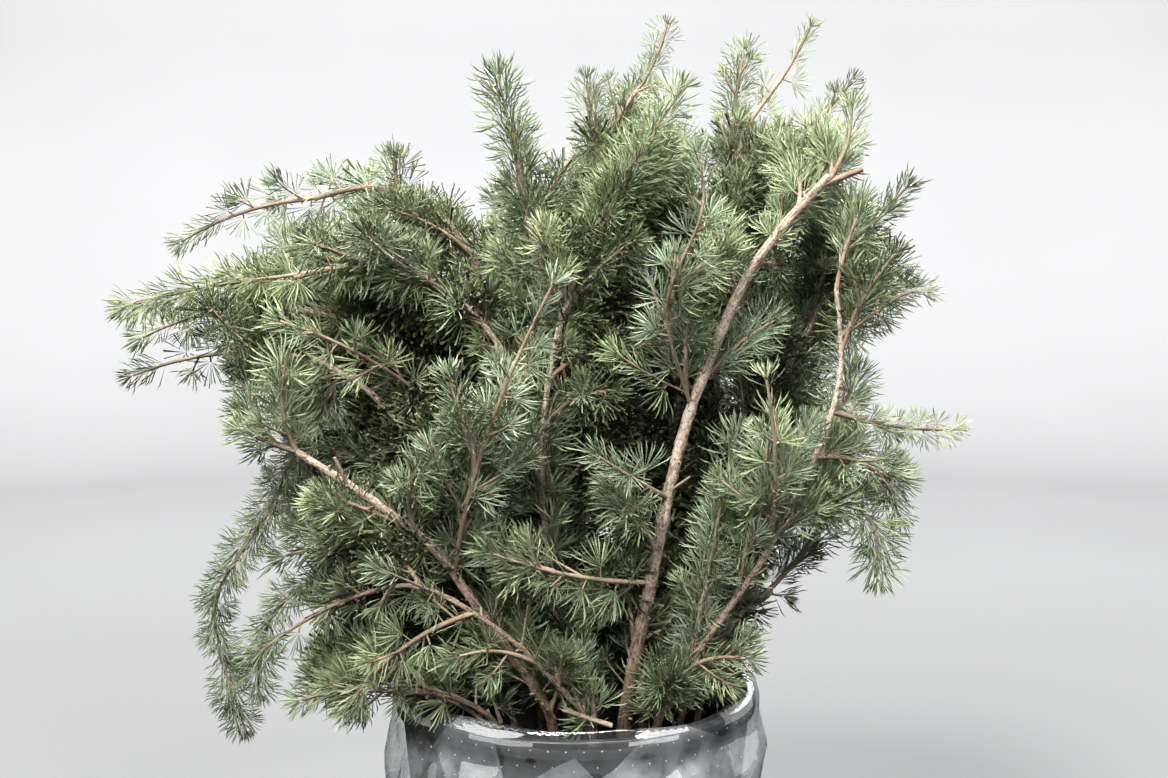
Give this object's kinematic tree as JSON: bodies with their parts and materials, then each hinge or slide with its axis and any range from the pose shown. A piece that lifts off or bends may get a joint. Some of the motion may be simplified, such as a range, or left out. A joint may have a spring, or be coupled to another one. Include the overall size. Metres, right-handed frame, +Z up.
{
  "type": "bunch of cut cedar branches in a flower bucket",
  "caption": "Dense upright bunch of cut evergreen branches with short needle rosettes, standing in a round black bucket inside a clear film sleeve.",
  "frame": {"origin": "centre of the bucket's flat underside", "axes": "+Z up, -Y towards the viewer of the picture, +X to the viewer's right; metres"},
  "size_m": [0.6951, 0.418, 0.8457],
  "materials": {
    "bucket": "smooth black plastic, slightly glossy",
    "film": "clear crinkled film with rows of fine pinholes",
    "bark": "grey-brown bark with tan flecks, orange-tan on young shoots",
    "needles": "dark grey-green needles with a paler bloom"
  },
  "bodies": {
    "root": {"bucket": "bucket", "film_sleeve": "film", "stem_main": "bark", "stem_right": "bark", "stem_front_left": "bark", "stem_low_left": "bark", "stem_rim_left": "bark", "stem_left_mid": "bark", "stem_left_upper": "bark", "stem_left_top": "bark", "stem_arch": "bark", "stem_upright": "bark", "stem_top_mid": "bark", "stem_top_back": "bark", "stem_top_right": "bark", "stem_behind_right": "bark", "stem_low_right": "bark", "stem_back_left": "bark", "stem_back_mid": "bark", "stem_back_right": "bark", "spray_main_top": "needles", "spray_main_high": "needles", "spray_main_mid": "needles", "spray_main_low": "needles", "spray_right_top": "needles", "spray_right_high": "needles", "spray_right_mid": "needles", "spray_right_droop": "needles", "spray_right_low": "needles", "spray_right_inner": "needles", "spray_front_left": "needles", "spray_front_low": "needles", "spray_centre": "needles", "spray_low_centre": "needles", "spray_low_left": "needles", "spray_low_drop": "needles", "spray_rim_left": "needles", "spray_tail": "needles", "spray_tail_short": "needles", "spray_left_mid": "needles", "spray_left_bright": "needles", "spray_left_upper": "needles", "spray_left_top": "needles", "spray_arch": "needles", "spray_arch_crest": "needles", "spray_upright": "needles", "spray_top_mid": "needles", "spray_top_back_left": "needles", "spray_top_back": "needles", "spray_top_right": "needles", "spray_top_right_left": "needles", "spray_top_right_out": "needles", "spray_behind_right": "needles", "spray_low_right": "needles", "spray_rim_right": "needles", "spray_back_left": "needles", "spray_rear_left": "needles", "spray_back_mid": "needles", "spray_back_right": "needles", "spray_rear_right": "needles"}
  },
  "joints": []
}
